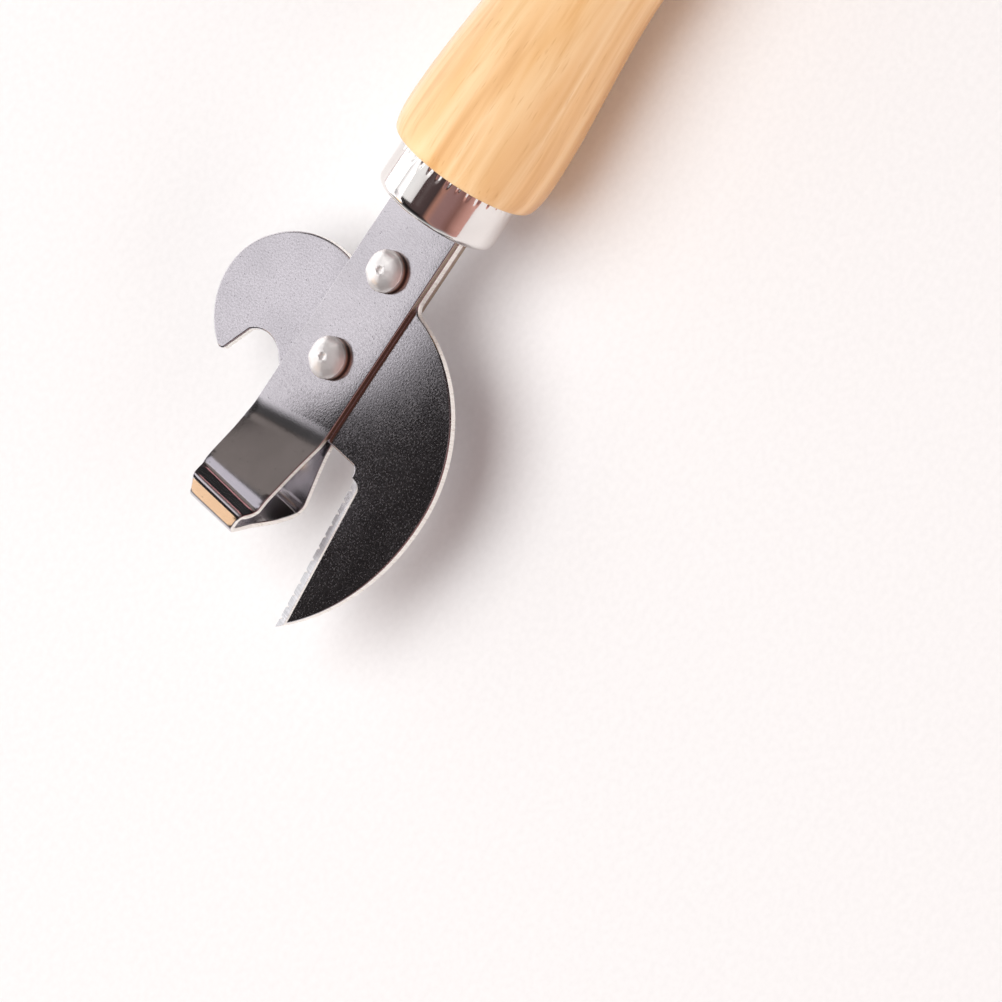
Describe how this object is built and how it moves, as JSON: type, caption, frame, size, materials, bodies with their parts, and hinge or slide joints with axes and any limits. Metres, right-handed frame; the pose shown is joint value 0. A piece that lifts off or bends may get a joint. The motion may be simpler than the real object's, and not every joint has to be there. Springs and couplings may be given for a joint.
{
  "type": "can opener",
  "caption": "Hand can opener with a turned wooden handle, a folded guide strip, and a riveted plate with a curved cutting blade and a bottle hook.",
  "frame": {"origin": "centre of the handle's straight grip, on the handle axis", "axes": "+X along the handle axis to the blade tip, +Y to the cutting blade's side, +Z to the front, where the rivet heads are"},
  "size_m": [0.1709, 0.0566, 0.0268],
  "materials": {
    "handle_wood": "clear varnish over pale turned wood",
    "ferrule_metal": "polished plate",
    "strip_metal": "satin nickel plate, fine texture",
    "blade_steel": "satin plate with a ground edge",
    "rivet_metal": "bright plate"
  },
  "bodies": {
    "root": {"handle": "handle_wood", "ferrule": "ferrule_metal", "guide_strip": "strip_metal", "blade_plate": "blade_steel", "rivets": "rivet_metal"}
  },
  "joints": []
}
